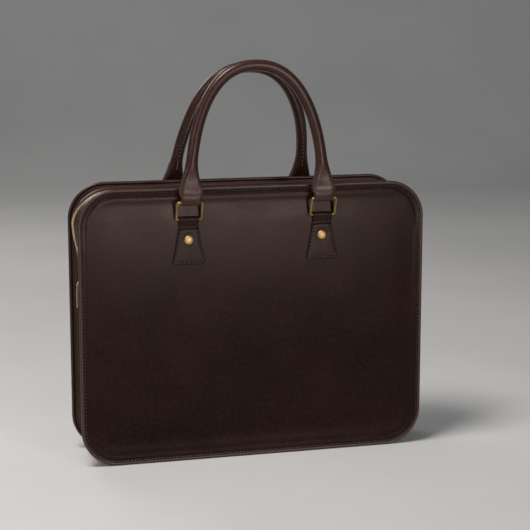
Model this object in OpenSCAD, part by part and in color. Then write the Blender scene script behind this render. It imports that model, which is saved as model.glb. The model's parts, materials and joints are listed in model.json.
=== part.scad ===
// Slim zip-round leather briefcase with two rolled handles on brass rings.
// Frame: origin on the floor under the middle of the case, X to the right,
// -Y towards the front panel, Z up. Millimetres.

/* [Case] */
// Width of the case over its rims
case_w = 380; // [320:1:440]
// Height of the case from the floor to the top of the rims
case_h = 296; // [260:1:340]
// Depth of the case over both rims
case_d = 76; // [66:1:100]
// Outer radius of the corners
corner_r = 40; // [32:1:50]
// Diameter of the rolled binding round each panel
bead_d = 4; // [3.6:0.1:4.4]
// How far the gusset lies below the rims
gusset_recess = 8; // [7:0.5:10]

/* [Leather and boards] */
// Thickness of the panel leather
panel_t = 1.4; // [1:0.1:1.5]
// Thickness of the stiffening boards
board_t = 1.2; // [0.8:0.1:1.3]
// Thickness of the gusset leather
gusset_t = 1.2; // [1:0.1:1.3]
// Thickness of the lining
lining_t = 0.8; // [0.6:0.1:1]
// Depth of the inward fold of the side gussets
fold_depth = 21; // [12:1:26]

/* [Zip] */
// Height of the two lower ends of the zip above the floor
zip_end_z = 180; // [160:1:200]
// Width of the opening between the two gusset edges along the zip
zip_gap = 16; // [14:1:20]
// Width of one tape
tape_w = 15; // [12:1:17]
// Length of the slider
slider_len = 12; // [10:1:14]
// Length of the pull
pull_len = 24; // [18:1:30]

/* [Chapes and rivets] */
// Distance between the middles of the two chapes
chape_spacing = 146.4; // [120:0.1:180]
// Height of the lower edge of the chapes above the floor
chape_z = 214; // [205:1:220]
// Width of a chape at its lower edge
chape_foot_w = 38.4; // [34:0.2:42]
// Width of a chape where it passes through its ring
chape_neck_w = 21.6; // [20:0.2:22]
// Height of the rivets above the floor
rivet_z = 240.4; // [238:0.1:243]
// Diameter of the domed rivet heads
rivet_d = 9.6; // [8:0.1:11]

/* [Rings] */
// Outer width of a ring
ring_w = 30; // [29.6:0.1:32]
// Outer height of a ring
ring_h = 23; // [22:0.5:28]
// Diameter of the ring wire
wire_d = 3; // [2.8:0.1:3.2]
// Height of the lower ring bars above the floor
ring_z = 262.5; // [262:0.1:264]
// Outward lean of the rings
ring_lean = 22; // [21:1:26]

/* [Handles] */
// Height of the handle's centre line above the upper ring bars
handle_rise = 141; // [110:1:170]
// Diameter of the rolled grip
grip_d = 12.2; // [11:0.1:13]
// Greatest width of the flat handle ends
handle_end_w = 26; // [24:0.5:28]
// Inward lean of the front handle
front_handle_lean = 3.5; // [0:0.5:6]
// Inward lean of the back handle
back_handle_lean = 18; // [12:0.5:22]

/* [Hidden] */
$fn = 64;
front = -1;
back = 1;
left = -1;
right = 1;
leather = "#3a2a25";
leather_dark = "#2a1d1a";
cloth = "#6b5a4c";
board = "#8a7a63";
brass = "#b08d57";
antique_brass = "#8c7346";

// The rims stand on a narrow pressed flat, so their round starts a little above the floor.
sole_gap = 0.05;
sole_w = 1.2;
bead_r = bead_d / 2;
bead_y = case_d / 2 - bead_r;
// Distances from the middle plane out to each layer of a half.
face_y = bead_y + 1.2;
board_y = face_y - panel_t;
flange_y = board_y - board_t;
wall_y = flange_y - gusset_t;
fit_gap = 0.3;
// Depths below the rims' outer edge.
wall_in = gusset_recess + gusset_t;
tape_t = 0.8;
teeth_y0 = 0.8;
teeth_y1 = 2.8;
teeth_out = gusset_recess - 0.4;
teeth_in = wall_in + tape_t + 0.6;
lining_inset = wall_in + fit_gap;

// A rounded rectangle in the plane of the panels, a given distance inside the rims' outer edge.
module outline(inset) {
    r = corner_r - inset;
    x = case_w / 2 - corner_r;
    z0 = corner_r + sole_gap;
    z1 = case_h - corner_r;
    translate([-x - r, z0])
        square([2 * (x + r), z1 - z0]);
    translate([-x, z0 - r])
        square([2 * x, z1 - z0 + 2 * r]);
    for (cx = [-x, x], cz = [z0, z1])
        translate([cx, cz])
            circle(r, $fn = 96);
}

// Places what is drawn for the front on either side.
module on_side(side) {
    mirror([0, side == back ? 1 : 0, 0])
        children();
}

// Extrudes a shape drawn in X and Z between two distances in front of the middle plane.
module layer(y0, y1) {
    rotate([90, 0, 0])
        translate([0, 0, y0])
            linear_extrude(y1 - y0)
                children();
}

module rivet_holes(r, y0, y1) {
    for (x = [-1, 1] * chape_spacing / 2)
        translate([x, -y0 + 1, rivet_z])
            rotate([90, 0, 0])
                cylinder(h = y1 - y0 + 2, r = r);
}

// --- Panels ---------------------------------------------------------------

rivet_post_r = 1.5;
washer_r = 4;

module half_panel(side) {
    color(leather)
        on_side(side)
            difference() {
                layer(board_y, face_y)
                    outline(bead_d);
                rivet_holes(rivet_post_r, board_y, face_y);
            }
}

module half_board(side) {
    color(board)
        on_side(side)
            difference() {
                layer(flange_y, board_y)
                    outline(bead_d + 1);
                rivet_holes(washer_r, flange_y, board_y);
            }
}

module half_lining(side) {
    color(cloth)
        on_side(side)
            layer(flange_y - lining_t, flange_y)
                outline(lining_inset);
}

// The rolled binding: straight runs and quarter rings along the edge of a panel.
module half_binding(side) {
    x = case_w / 2 - corner_r;
    z0 = corner_r + sole_gap;
    z1 = case_h - corner_r;
    r = corner_r - bead_r;
    color(leather_dark)
        on_side(side)
            translate([0, -bead_y, 0]) {
                rotate([90, 0, 0]) {
                    for (z = [z0 - r, z1 + r])
                        translate([-x, z, 0])
                            rotate([0, 90, 0])
                                cylinder(h = 2 * x, r = bead_r);
                    for (cx = [-x - r, x + r])
                        translate([cx, z0, 0])
                            rotate([-90, 0, 0])
                                cylinder(h = z1 - z0, r = bead_r);
                    for (corner = [[x, z1, 0], [-x, z1, 90], [-x, z0, 180], [x, z0, 270]])
                        translate([corner[0], corner[1], 0])
                            rotate([0, 0, corner[2]])
                                rotate_extrude(angle = 90)
                                    translate([r, 0])
                                        circle(bead_r);
                }
                translate([-x, -sole_w / 2, 0])
                    cube([2 * x, sole_w, 1]);
            }
}

// --- Gussets --------------------------------------------------------------

// A band that follows the outline between two depths, above or below a height.
module band(out, inner, z_min, z_max) {
    intersection() {
        difference() {
            outline(out);
            outline(inner);
        }
        translate([-case_w, z_min])
            square([2 * case_w, z_max - z_min]);
    }
}

side_top_z = zip_end_z - 4;
side_foot_z = corner_r;

// The upper gusset strip of one half, with its flange turned up against the panel.
module half_gusset(side) {
    color(leather_dark)
        on_side(side) {
            layer(zip_gap / 2, wall_y)
                band(gusset_recess, wall_in, side_top_z, case_h);
            layer(wall_y, flange_y)
                difference() {
                    outline(bead_d);
                    outline(wall_in);
                }
        }
}

module bottom_gusset() {
    color(leather_dark)
        layer(-wall_y, wall_y - fit_gap)
            band(gusset_recess, wall_in, -1, side_foot_z);
}

// An inward folded side gusset between the foot corner and the end of the zip.
module side_gusset(side) {
    x = case_w / 2 - gusset_recess;
    y = wall_y - fit_gap;
    t = gusset_t * 1.5;
    color(leather_dark)
        translate([0, 0, side_foot_z + fit_gap])
            linear_extrude(side_top_z - side_foot_z - 2 * fit_gap)
                polygon([
                    [side * x, -y],
                    [side * (x - fold_depth), 0],
                    [side * x, y],
                    [side * (x - t), y],
                    [side * (x - fold_depth - t), 0],
                    [side * (x - t), -y]
                ]);
}

base_board_w = 286;
base_board_t = 1.6;

module base_board() {
    color(board)
        translate([-base_board_w / 2, -wall_y + 2, wall_in + sole_gap])
            cube([base_board_w, 2 * wall_y - 4, base_board_t]);
}

pocket_w = 280;
pocket_h = 180;
pocket_gap = 1.8;
pocket_hem = 6;
pocket_z = 30;
pocket_t = 1;

// A slip pocket sewn to the back lining along its sides and foot.
module inner_pocket() {
    y = flange_y - lining_t - pocket_gap - pocket_t;
    color(cloth)
        difference() {
            translate([-pocket_w / 2, y, pocket_z])
                cube([pocket_w, pocket_t + pocket_gap, pocket_h]);
            translate([-pocket_w / 2 + pocket_hem, y + pocket_t, pocket_z + pocket_hem])
                cube([pocket_w - 2 * pocket_hem, pocket_gap + 1, pocket_h]);
        }
}

// --- Zip ------------------------------------------------------------------

module half_tape(side) {
    color(cloth)
        on_side(side)
            layer(teeth_y1, teeth_y1 + tape_w)
                band(wall_in, wall_in + tape_t, zip_end_z - 2, case_h);
}

module half_teeth(side) {
    color(brass)
        on_side(side)
            layer(teeth_y0, teeth_y1)
                band(teeth_out, teeth_in, zip_end_z, case_h);
}

tab_w = 18;
tab_h = 14;
tab_t = 1.4;

// A leather tab over the lower end of the zip.
module zip_end_tab(side) {
    x = case_w / 2 - gusset_recess + 0.1;
    color(leather)
        translate([side > 0 ? x : -x - tab_t, -tab_w / 2, zip_end_z - tab_h - 1])
            cube([tab_t, tab_w, tab_h]);
}

end_box_h = 5;

// The metal box that holds the two rows of teeth together at the zip's fixed end.
module zip_end_box() {
    x = case_w / 2 - teeth_in;
    color(brass)
        translate([x, -teeth_y1, zip_end_z - end_box_h - 0.5])
            cube([teeth_in - gusset_recess, 2 * teeth_y1, end_box_h]);
}

slider_z = zip_end_z + 7;
slider_w = 8.6;
slider_t = 1.4;
slider_out = teeth_out - fit_gap;
slider_in = teeth_in + fit_gap;
post_w = 1.1;
post_l = 4;
bail_r = 0.9;
bail_z = 3.2;
bail_w = 4;
cheek_w = 1.4;
bail_out = slider_out - slider_t - 2.3;
pull_w = 6;
pull_t = 1.2;
eye_w = 1;
eye_r = bail_r + 1;

// Places a piece on the left side of the case: local X is the depth below the rims.
module on_left_zip(z) {
    translate([-case_w / 2, 0, z])
        children();
}

module zip_slider() {
    color(brass)
        on_left_zip(slider_z) {
            difference() {
                translate([slider_out - slider_t, -slider_w / 2, -slider_len / 2])
                    cube([slider_in - slider_out + 2 * slider_t, slider_w, slider_len]);
                translate([slider_out, -slider_w, -slider_len])
                    cube([slider_in - slider_out, 2 * slider_w, 2 * slider_len]);
            }
            translate([slider_out - 0.1, -post_w / 2, -slider_len / 2])
                cube([slider_in - slider_out + 0.2, post_w, post_l]);
            for (y = [-bail_w / 2 - 0.2, bail_w / 2 + 0.2 - cheek_w])
                translate([bail_out - bail_r, y, bail_z - eye_r / 2 - 0.2])
                    cube([slider_out - bail_out, cheek_w, eye_r + 0.5]);
            translate([bail_out, -bail_w / 2, bail_z])
                rotate([-90, 0, 0])
                    cylinder(h = bail_w, r = bail_r);
        }
}

// The pull hangs from the slider's bail.
module zip_pull() {
    neck_l = 6;
    blade_l = pull_len - pull_w / 2 - neck_l + 2;
    color(brass)
        on_left_zip(slider_z + bail_z)
            translate([bail_out, 0, 0])
                difference() {
                    union() {
                        translate([0, -eye_w / 2, 0])
                            rotate([-90, 0, 0])
                                cylinder(h = eye_w, r = eye_r);
                        translate([-pull_t / 2, -eye_w / 2, -neck_l])
                            cube([pull_t, eye_w, neck_l]);
                        translate([-pull_t / 2, -pull_w / 2, -pull_len + pull_w / 2])
                            cube([pull_t, pull_w, blade_l]);
                        translate([-pull_t / 2, 0, -pull_len + pull_w / 2])
                            rotate([0, 90, 0])
                                cylinder(h = pull_t, d = pull_w);
                    }
                    translate([0, -pull_w, 0])
                        rotate([-90, 0, 0])
                            cylinder(h = 2 * pull_w, r = bail_r + 0.06);
                }
}

// --- Chapes, rivets and rings ---------------------------------------------

chape_t = 2.2;
wire_r = wire_d / 2;
bar_gap = 0.05;
loop_r = wire_r + bar_gap + chape_t / 2;
bar_y = face_y + loop_r + 0.1;
neck_z = ring_z - 8;
foot_r = 4;

// A tapered tab whose neck goes up through the ring, with rounded foot corners.
module chape_outline() {
    half_foot = chape_foot_w / 2;
    half_neck = chape_neck_w / 2;
    slope = (half_foot - half_neck) / (neck_z - chape_z);
    corner_x = half_foot - foot_r * (1 + slope);
    polygon([
        [-corner_x, chape_z],
        [corner_x, chape_z],
        [half_foot - foot_r * slope, chape_z + foot_r],
        [half_neck, neck_z],
        [half_neck, ring_z],
        [-half_neck, ring_z],
        [-half_neck, neck_z],
        [-half_foot + foot_r * slope, chape_z + foot_r]
    ]);
    for (x = [-corner_x, corner_x])
        translate([x, chape_z + foot_r])
            circle(foot_r);
}

module chape(side, end) {
    color(leather)
        on_side(side)
            translate([end * chape_spacing / 2, 0, 0])
                difference() {
                    union() {
                        layer(face_y, face_y + chape_t)
                            chape_outline();
                        translate([-chape_neck_w / 2, -bar_y, ring_z])
                            rotate([0, 90, 0])
                                cylinder(h = chape_neck_w, r = loop_r);
                    }
                    translate([-chape_neck_w, -bar_y, ring_z])
                        rotate([0, 90, 0])
                            cylinder(h = 2 * chape_neck_w, r = wire_r + bar_gap);
                    translate([0, -face_y + 1, rivet_z])
                        rotate([90, 0, 0])
                            cylinder(h = chape_t + 2, r = rivet_post_r);
                }
}

dome_h = 2.2;

module rivets(side) {
    head_y = face_y + chape_t;
    dome_r = (rivet_d * rivet_d / 4 + dome_h * dome_h) / (2 * dome_h);
    color(brass)
        on_side(side)
            for (x = [-1, 1] * chape_spacing / 2)
                translate([x, 0, rivet_z])
                    rotate([90, 0, 0]) {
                        translate([0, 0, flange_y])
                            cylinder(h = head_y - flange_y, r = rivet_post_r);
                        intersection() {
                            translate([0, 0, head_y + dome_h - dome_r])
                                sphere(dome_r);
                            translate([0, 0, head_y])
                                cylinder(h = dome_h + 1, r = rivet_d);
                        }
                    }
}

module rivet_washers(side) {
    color(brass)
        on_side(side)
            difference() {
                for (x = [-1, 1] * chape_spacing / 2)
                    translate([x, -flange_y, rivet_z])
                        rotate([90, 0, 0])
                            cylinder(h = board_t, r = washer_r);
                rivet_holes(rivet_post_r, flange_y, board_y);
            }
}

ring_span = ring_w - wire_d;
ring_rise = ring_h - wire_d;
ring_corner = 2.2;

// A rectangular ring drawn in X and Y with the middle of its lower bar at the origin.
module ring_shape() {
    x = ring_span / 2 - ring_corner;
    y0 = ring_corner;
    y1 = ring_rise - ring_corner;
    for (y = [0, ring_rise])
        translate([-x, y, 0])
            rotate([0, 90, 0])
                cylinder(h = 2 * x, r = wire_r);
    for (cx = [-ring_span / 2, ring_span / 2])
        translate([cx, y0, 0])
            rotate([-90, 0, 0])
                cylinder(h = y1 - y0, r = wire_r);
    for (corner = [[x, y1, 0], [-x, y1, 90], [-x, y0, 180], [x, y0, 270]])
        translate([corner[0], corner[1], 0])
            rotate([0, 0, corner[2]])
                rotate_extrude(angle = 90)
                    translate([ring_corner, 0])
                        circle(wire_r);
}

module ring(side, end) {
    color(antique_brass)
        on_side(side)
            translate([end * chape_spacing / 2, -bar_y, ring_z])
                rotate([90 + ring_lean, 0, 0])
                    ring_shape();
}

// --- Handles --------------------------------------------------------------

arch_power = 2.3;
arch_half = chape_spacing / 2 - 0.9;
end_half_t = 3.3;
tube_sides = 16;
grip_steps = 44;
end_steps = 12;
core_r = grip_d / 2 - 2;
// Angle on the arch where the rolled grip begins.
grip_angle = 16;

// Signed power, which squares a circle off towards a rectangle.
function squared(v, p) = sign(v) * pow(abs(v), 2 / p);

// Centre line of the handle: a squared half ellipse above the ring bars.
function arch(a) = [
    arch_half * squared(cos(a), arch_power),
    handle_rise * squared(sin(a), arch_power)
];

function arch_side(a) =
    let (step = 0.5, d = arch(a + step) - arch(a - step))
    [d[1], -d[0]] / norm(d);

// Smooth step from 0 to 1 between two heights.
function ease(v, v0, v1) =
    let (t = max(0, min(1, (v - v0) / (v1 - v0))))
    t * t * (3 - 2 * t);

// Half width and half thickness of the cover at a height above the bars.
function cover_half_w(v) =
    let (neck = chape_neck_w / 2, shoulder = handle_end_w / 2, grip = grip_d / 2)
    neck + (shoulder - neck) * ease(v, 3, 9) + (grip - shoulder) * ease(v, 12, 44);
function cover_half_t(v) = end_half_t + (grip_d / 2 - end_half_t) * ease(v, 8, 40);

// Ring of points round the centre line.
function section(a, r) =
    let (c = arch(a), n = arch_side(a))
    [for (k = [0 : tube_sides - 1])
        let (w = r * cos(360 * k / tube_sides), t = r * sin(360 * k / tube_sides))
        [c[0] + n[0] * w, t, c[1] + n[1] * w]];

// Triangles between neighbouring sections whose points start at a given index.
function walls(count, start) = [for (i = [0 : count - 2], k = [0 : tube_sides - 1])
    let (
        a = start + i * tube_sides + k,
        b = start + i * tube_sides + (k + 1) % tube_sides
    )
    each [[a, b, b + tube_sides], [a, b + tube_sides, a + tube_sides]]];

function flipped(faces) = [for (f = faces) [f[2], f[1], f[0]]];

// Closed solid bar through a list of sections.
module bar(sections) {
    last = (len(sections) - 1) * tube_sides;
    first_cap = [for (k = [0 : tube_sides - 1]) tube_sides - 1 - k];
    last_cap = [for (k = [0 : tube_sides - 1]) last + k];
    polyhedron([for (s = sections) each s],
        concat([first_cap], walls(len(sections), 0), [last_cap]));
}

// Pipe between two lists of sections, open at both ends.
module pipe(outer, inner) {
    count = len(outer);
    span = count * tube_sides;
    last = span - tube_sides;
    rims = [for (k = [0 : tube_sides - 1])
        let (n = (k + 1) % tube_sides)
        each [
            [k, span + k, span + n], [k, span + n, n],
            [last + k, last + n, last + span + n], [last + k, last + span + n, last + span + k]
        ]];
    polyhedron([for (s = concat(outer, inner)) each s],
        concat(walls(count, 0), flipped(walls(count, span)), rims));
}

function grip_sections(r) = [for (i = [0 : grip_steps])
    section(grip_angle + (180 - 2 * grip_angle) * i / grip_steps, r)];

// Stands a handle on the upper ring bars of one side, leaning inwards.
module on_ring_bars(side) {
    lean = side == front ? front_handle_lean : back_handle_lean;
    y = bar_y + ring_rise * sin(ring_lean);
    z = ring_z + ring_rise * cos(ring_lean);
    on_side(side)
        translate([0, -y, z])
            rotate([-lean, 0, 0])
                children();
}

module handle_cover(side) {
    color(leather)
        on_ring_bars(side)
            pipe(grip_sections(grip_d / 2), grip_sections(core_r));
}

module handle_core(side) {
    color(cloth)
        on_ring_bars(side)
            bar(grip_sections(core_r));
}

// Distance of the centre line from the middle of the case at a height above the bars.
function arch_x(v) = arch_half * pow(1 - pow(v / handle_rise, arch_power), 1 / arch_power);

end_top = arch(grip_angle)[1] - 1;
end_heights = [for (i = [0 : end_steps]) end_top * i / end_steps];
end_heights_down = [for (i = [0 : end_steps]) end_top * (1 - i / end_steps)];

// One flared end: its width profile seen from the front cut to its thickness profile.
module handle_end() {
    intersection() {
        rotate([90, 0, 0])
            translate([0, 0, -grip_d])
                linear_extrude(2 * grip_d)
                    polygon(concat(
                        [for (v = end_heights) [arch_x(v) + cover_half_w(v), v]],
                        [for (v = end_heights_down) [arch_x(v) - cover_half_w(v), v]]));
        rotate([90, 0, 90])
            linear_extrude(case_w / 2)
                polygon(concat(
                    [for (v = end_heights) [cover_half_t(v), v]],
                    [for (v = end_heights_down) [-cover_half_t(v), v]]));
    }
}

// The flat folded ends of a handle, each with a bore for its ring bar.
module handle_ends(side) {
    color(leather)
        on_ring_bars(side)
            for (end = [0, 1])
                mirror([end, 0, 0])
                    difference() {
                        union() {
                            handle_end();
                            translate([arch_half - chape_neck_w / 2, 0, 0])
                                rotate([0, 90, 0])
                                    cylinder(h = chape_neck_w, r = end_half_t);
                        }
                        translate([arch_half - chape_neck_w, 0, 0])
                            rotate([0, 90, 0])
                                cylinder(h = 2 * chape_neck_w, r = wire_r + bar_gap);
                    }
}

half_panel(back);  // back_panel
half_board(back);  // back_board
half_lining(back);  // back_lining
half_binding(back);  // back_binding
half_gusset(back);  // back_gusset
half_tape(back);  // back_zip_tape
half_teeth(back);  // back_zip_teeth
half_panel(front);  // front_panel
half_board(front);  // front_board
half_lining(front);  // front_lining
half_binding(front);  // front_binding
half_gusset(front);  // front_gusset
half_tape(front);  // front_zip_tape
half_teeth(front);  // front_zip_teeth
bottom_gusset();
base_board();
side_gusset(left);  // left_side_gusset
side_gusset(right);  // right_side_gusset
inner_pocket();
zip_end_tab(left);  // left_zip_end_tab
zip_end_tab(right);  // right_zip_end_tab
zip_end_box();
zip_slider();
zip_pull();
chape(front, left);  // front_left_chape
chape(front, right);  // front_right_chape
chape(back, left);  // back_left_chape
chape(back, right);  // back_right_chape
rivets(front);  // front_rivets
rivets(back);  // back_rivets
rivet_washers(front);  // front_rivet_washers
rivet_washers(back);  // back_rivet_washers
ring(front, left);  // front_left_ring
ring(front, right);  // front_right_ring
ring(back, left);  // back_left_ring
ring(back, right);  // back_right_ring
handle_cover(front);  // front_handle_cover
handle_cover(back);  // back_handle_cover
handle_ends(front);  // front_handle_ends
handle_ends(back);  // back_handle_ends
handle_core(front);  // front_handle_core
handle_core(back);  // back_handle_core
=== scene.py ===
"""Slim zip-round leather briefcase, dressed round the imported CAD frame. Lengths in millimetres unless a
name ends in _M; every mesh is scaled to metres as it is made."""
import json
import math
import random

import bmesh
import bpy
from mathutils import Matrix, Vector


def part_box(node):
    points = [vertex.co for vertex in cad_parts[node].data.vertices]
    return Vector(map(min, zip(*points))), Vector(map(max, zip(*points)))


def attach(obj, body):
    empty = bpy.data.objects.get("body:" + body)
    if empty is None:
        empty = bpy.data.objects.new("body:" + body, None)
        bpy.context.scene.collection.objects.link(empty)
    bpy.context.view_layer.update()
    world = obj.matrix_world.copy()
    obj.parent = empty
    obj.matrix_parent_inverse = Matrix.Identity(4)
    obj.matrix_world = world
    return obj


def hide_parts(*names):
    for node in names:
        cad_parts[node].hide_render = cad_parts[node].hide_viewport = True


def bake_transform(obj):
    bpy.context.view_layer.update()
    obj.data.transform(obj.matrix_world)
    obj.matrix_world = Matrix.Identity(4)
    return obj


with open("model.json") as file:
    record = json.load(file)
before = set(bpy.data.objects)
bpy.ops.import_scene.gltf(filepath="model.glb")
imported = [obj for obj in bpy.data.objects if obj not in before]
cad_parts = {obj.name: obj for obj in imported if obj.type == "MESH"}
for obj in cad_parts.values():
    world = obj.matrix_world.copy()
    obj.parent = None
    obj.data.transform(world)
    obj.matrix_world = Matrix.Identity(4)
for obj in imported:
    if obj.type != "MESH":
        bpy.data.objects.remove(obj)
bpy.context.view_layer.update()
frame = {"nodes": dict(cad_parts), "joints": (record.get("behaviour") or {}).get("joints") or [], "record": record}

random.seed(7)
MM = 0.001
X_AXIS, Y_AXIS, Z_AXIS = Vector((1, 0, 0)), Vector((0, 1, 0)), Vector((0, 0, 1))


# --- Sizes, from the frame where it has them -------------------------------

def box_mm(node):
    lo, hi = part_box(node)
    return lo / MM, hi / MM


def joint_mm(name):
    joint = next(j for j in frame["joints"] if j["name"] == name)
    return Vector(joint["pos_m"]) / MM


RIM_LO, RIM_HI = box_mm("back_binding")
PANEL_LO, PANEL_HI = box_mm("back_panel")
LINING_LO, LINING_HI = box_mm("back_lining")
POCKET_LO, POCKET_HI = box_mm("inner_pocket")
HALF_W = RIM_HI.x
TOP_Z = RIM_HI.z
BEAD_R = (RIM_HI.y - RIM_LO.y) / 2
BEAD_Y = (RIM_HI.y + RIM_LO.y) / 2
PANEL_INSET = HALF_W - PANEL_HI.x
BOTTOM_Z = PANEL_LO.z - PANEL_INSET
FACE_Y = PANEL_HI.y
BOARD_Y = PANEL_LO.y
FLANGE_Y = LINING_HI.y
CORNER_R = 40.0
RECESS = 8.0
LEATHER_T = 1.2
ZIP_END_Z = box_mm("back_zip_teeth")[0].z
SEAT = box_mm("zip_slider")
SIDES = {"front": -1, "back": 1}
ENDS = {"left": -1, "right": 1}


# --- Mesh helpers -----------------------------------------------------------

def finish_mesh(name, mesh, material):
    obj = bpy.data.objects.new(name, mesh)
    bpy.context.scene.collection.objects.link(obj)
    mesh.materials.append(material)
    mesh.shade_smooth()
    return obj


def make(name, verts, faces, material, uvs=()):
    """A mesh object from points in millimetres, with faces turned outwards."""
    mesh = bpy.data.meshes.new(name)
    mesh.from_pydata([Vector(v) * MM for v in verts], [], faces)
    if uvs:
        layer = mesh.uv_layers.new(name="UVMap")
        for loop in mesh.loops:
            layer.data[loop.index].uv = uvs[loop.vertex_index]
    work = bmesh.new()
    work.from_mesh(mesh)
    bmesh.ops.recalc_face_normals(work, faces=work.faces)
    work.to_mesh(mesh)
    work.free()
    return finish_mesh(name, mesh, material)


def sharpen(obj, degrees=40):
    """Smooth shading with crisp edges above an angle."""
    limit = math.radians(degrees)
    work = bmesh.new()
    work.from_mesh(obj.data)
    for edge in work.edges:
        edge.smooth = len(edge.link_faces) == 2 and edge.calc_face_angle(0) < limit
    work.to_mesh(obj.data)
    work.free()
    return obj


def bevel(obj, width, segments, degrees=35):
    mod = obj.modifiers.new("edge", "BEVEL")
    mod.width = width * MM
    mod.segments = segments
    mod.limit_method = "ANGLE"
    mod.angle_limit = math.radians(degrees)
    return obj


def ease(value, low, high):
    t = min(1.0, max(0.0, (value - low) / (high - low)))
    return t * t * (3 - 2 * t)


def bump_at(value, middle, width):
    return math.exp(-((value - middle) / width) ** 2)


def waves(seed, count, low, high):
    """A smooth random function of one or two lengths, from -1 to 1."""
    rng = random.Random(seed)
    terms = [(rng.uniform(low, high), rng.uniform(0, math.tau), rng.uniform(0, math.pi))
             for _ in range(count)]

    def value(a, b=0.0):
        total = sum(math.sin(f * (a * math.cos(t) + b * math.sin(t)) + p) for f, p, t in terms)
        return total / len(terms)
    return value


def turns(count):
    """Angles evenly round a circle."""
    return [math.tau * k / count for k in range(count)]


def spread(low, high, count):
    """The middles of equal steps between two values."""
    return [low + (high - low) * (i + 0.5) / count for i in range(count)]


def bands(first, size, count):
    """Quads that join each of count rings of points to the next, from vertex number first on."""
    return [(row + k, row + (k + 1) % size, row + size + (k + 1) % size, row + size + k)
            for row in range(first, first + count * size, size) for k in range(size)]


def join(a, b, size):
    """Quads between two rings of points anywhere in a mesh."""
    return [(a + k, a + (k + 1) % size, b + (k + 1) % size, b + k) for k in range(size)]


def fan(first, size, tip):
    """Triangles from a ring of points to one vertex."""
    return [(first + k, first + (k + 1) % size, tip) for k in range(size)]


def cap(first, size):
    return tuple(range(first, first + size))


def loft(name, rings, material, closed_path=False, uv_scale=0.0):
    """A surface through rings of points, with flat caps at the two ends of an open path."""
    size = len(rings[0])
    verts = [p for ring in rings for p in ring]
    last = len(verts) - size
    faces = bands(0, size, len(rings) - 1)
    faces += join(last, 0, size) if closed_path else [cap(0, size), cap(last, size)]
    uvs, along = [], 0.0
    for i, ring in enumerate(rings if uv_scale else []):
        across = 0.0
        along += (ring[0] - rings[max(0, i - 1)][0]).length
        for k, p in enumerate(ring):
            across += (p - ring[max(0, k - 1)]).length
            uvs.append((across * uv_scale, along * uv_scale))
    return make(name, verts, faces, material, uvs)


def rounded(half, low, high, radius, steps=8):
    """A rectangle with rounded corners: (across, up, outward across, outward up)."""
    corners = [(half - radius, high - radius, 0), (radius - half, high - radius, 90),
               (radius - half, low + radius, 180), (half - radius, low + radius, 270)]
    points = []
    for x, y, start in corners:
        for i in range(steps + 1):
            a = math.radians(start + 90 * i / steps)
            n = (math.cos(a), math.sin(a))
            points.append((x + radius * n[0], y + radius * n[1], *n))
    return points


# --- The rims' outline ------------------------------------------------------

STRAIGHT_X = HALF_W - CORNER_R
LOW_Z = BOTTOM_Z + CORNER_R
HIGH_Z = TOP_Z - CORNER_R
ARC = math.pi / 2 * CORNER_R
SIDE = HIGH_Z - LOW_Z
RUNS = [STRAIGHT_X, ARC, SIDE, ARC, 2 * STRAIGHT_X, ARC, SIDE, ARC, STRAIGHT_X]
RIM_LENGTH = sum(RUNS)
RIM_CORNERS = [(STRAIGHT_X, LOW_Z, -90), (STRAIGHT_X, HIGH_Z, 0), (-STRAIGHT_X, HIGH_Z, 90),
               (-STRAIGHT_X, LOW_Z, 180)]
RIM_SIDES = [(0, BOTTOM_Z, 1, 0), (HALF_W, LOW_Z, 0, 1), (STRAIGHT_X, TOP_Z, -1, 0),
             (-HALF_W, HIGH_Z, 0, -1), (-STRAIGHT_X, BOTTOM_Z, 1, 0)]
S_RIGHT_LOW = RUNS[0] + RUNS[1]
MIDDLE = Vector((0, 0, (TOP_Z + BOTTOM_Z) / 2))
TINY = 1e-6


def rim_at(s):
    """Point and outward direction, in X and Z, at a distance along the outline.
    It starts at the middle of the bottom and runs to the right first."""
    s = s % RIM_LENGTH
    i = 0
    while i < len(RUNS) - 1 and s > RUNS[i]:
        s -= RUNS[i]
        i += 1
    if i % 2:
        cx, cz, start = RIM_CORNERS[i // 2]
        a = math.radians(start) + s / CORNER_R
        n = (math.cos(a), math.sin(a))
        return (cx + CORNER_R * n[0], cz + CORNER_R * n[1]), n
    x, z, dx, dz = RIM_SIDES[i // 2]
    return (x + dx * s, z + dz * s), (dz, -dx)


def rim_point(s, inset, y):
    (x, z), (nx, nz) = rim_at(s)
    return Vector((x - nx * inset, y, z - nz * inset))


def rim_stops(start, end, straight=5.0, corner=1.3):
    """Distances along the outline, closer together round the corners."""
    edges = [sum(RUNS[:i]) + k * RIM_LENGTH for k in (-1, 0, 1) for i in range(len(RUNS) + 1)]
    stops = [start]
    s = start
    while s < end - TINY:
        nxt = min([e for e in edges if s + TINY < e < end] + [end])
        middle = (s + nxt) / 2
        bent = rim_at(middle - 0.01)[1] != rim_at(middle + 0.01)[1]
        count = max(1, round((nxt - s) / (corner if bent else straight)))
        stops += [s + (nxt - s) * (k + 1) / count for k in range(count)]
        s = nxt
    return stops


def height_s(z, side):
    """Distance along the outline at a height on the right or left straight side."""
    s = S_RIGHT_LOW + (z - LOW_Z)
    return s if side == "right" else RIM_LENGTH - s


# --- Materials --------------------------------------------------------------

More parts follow.
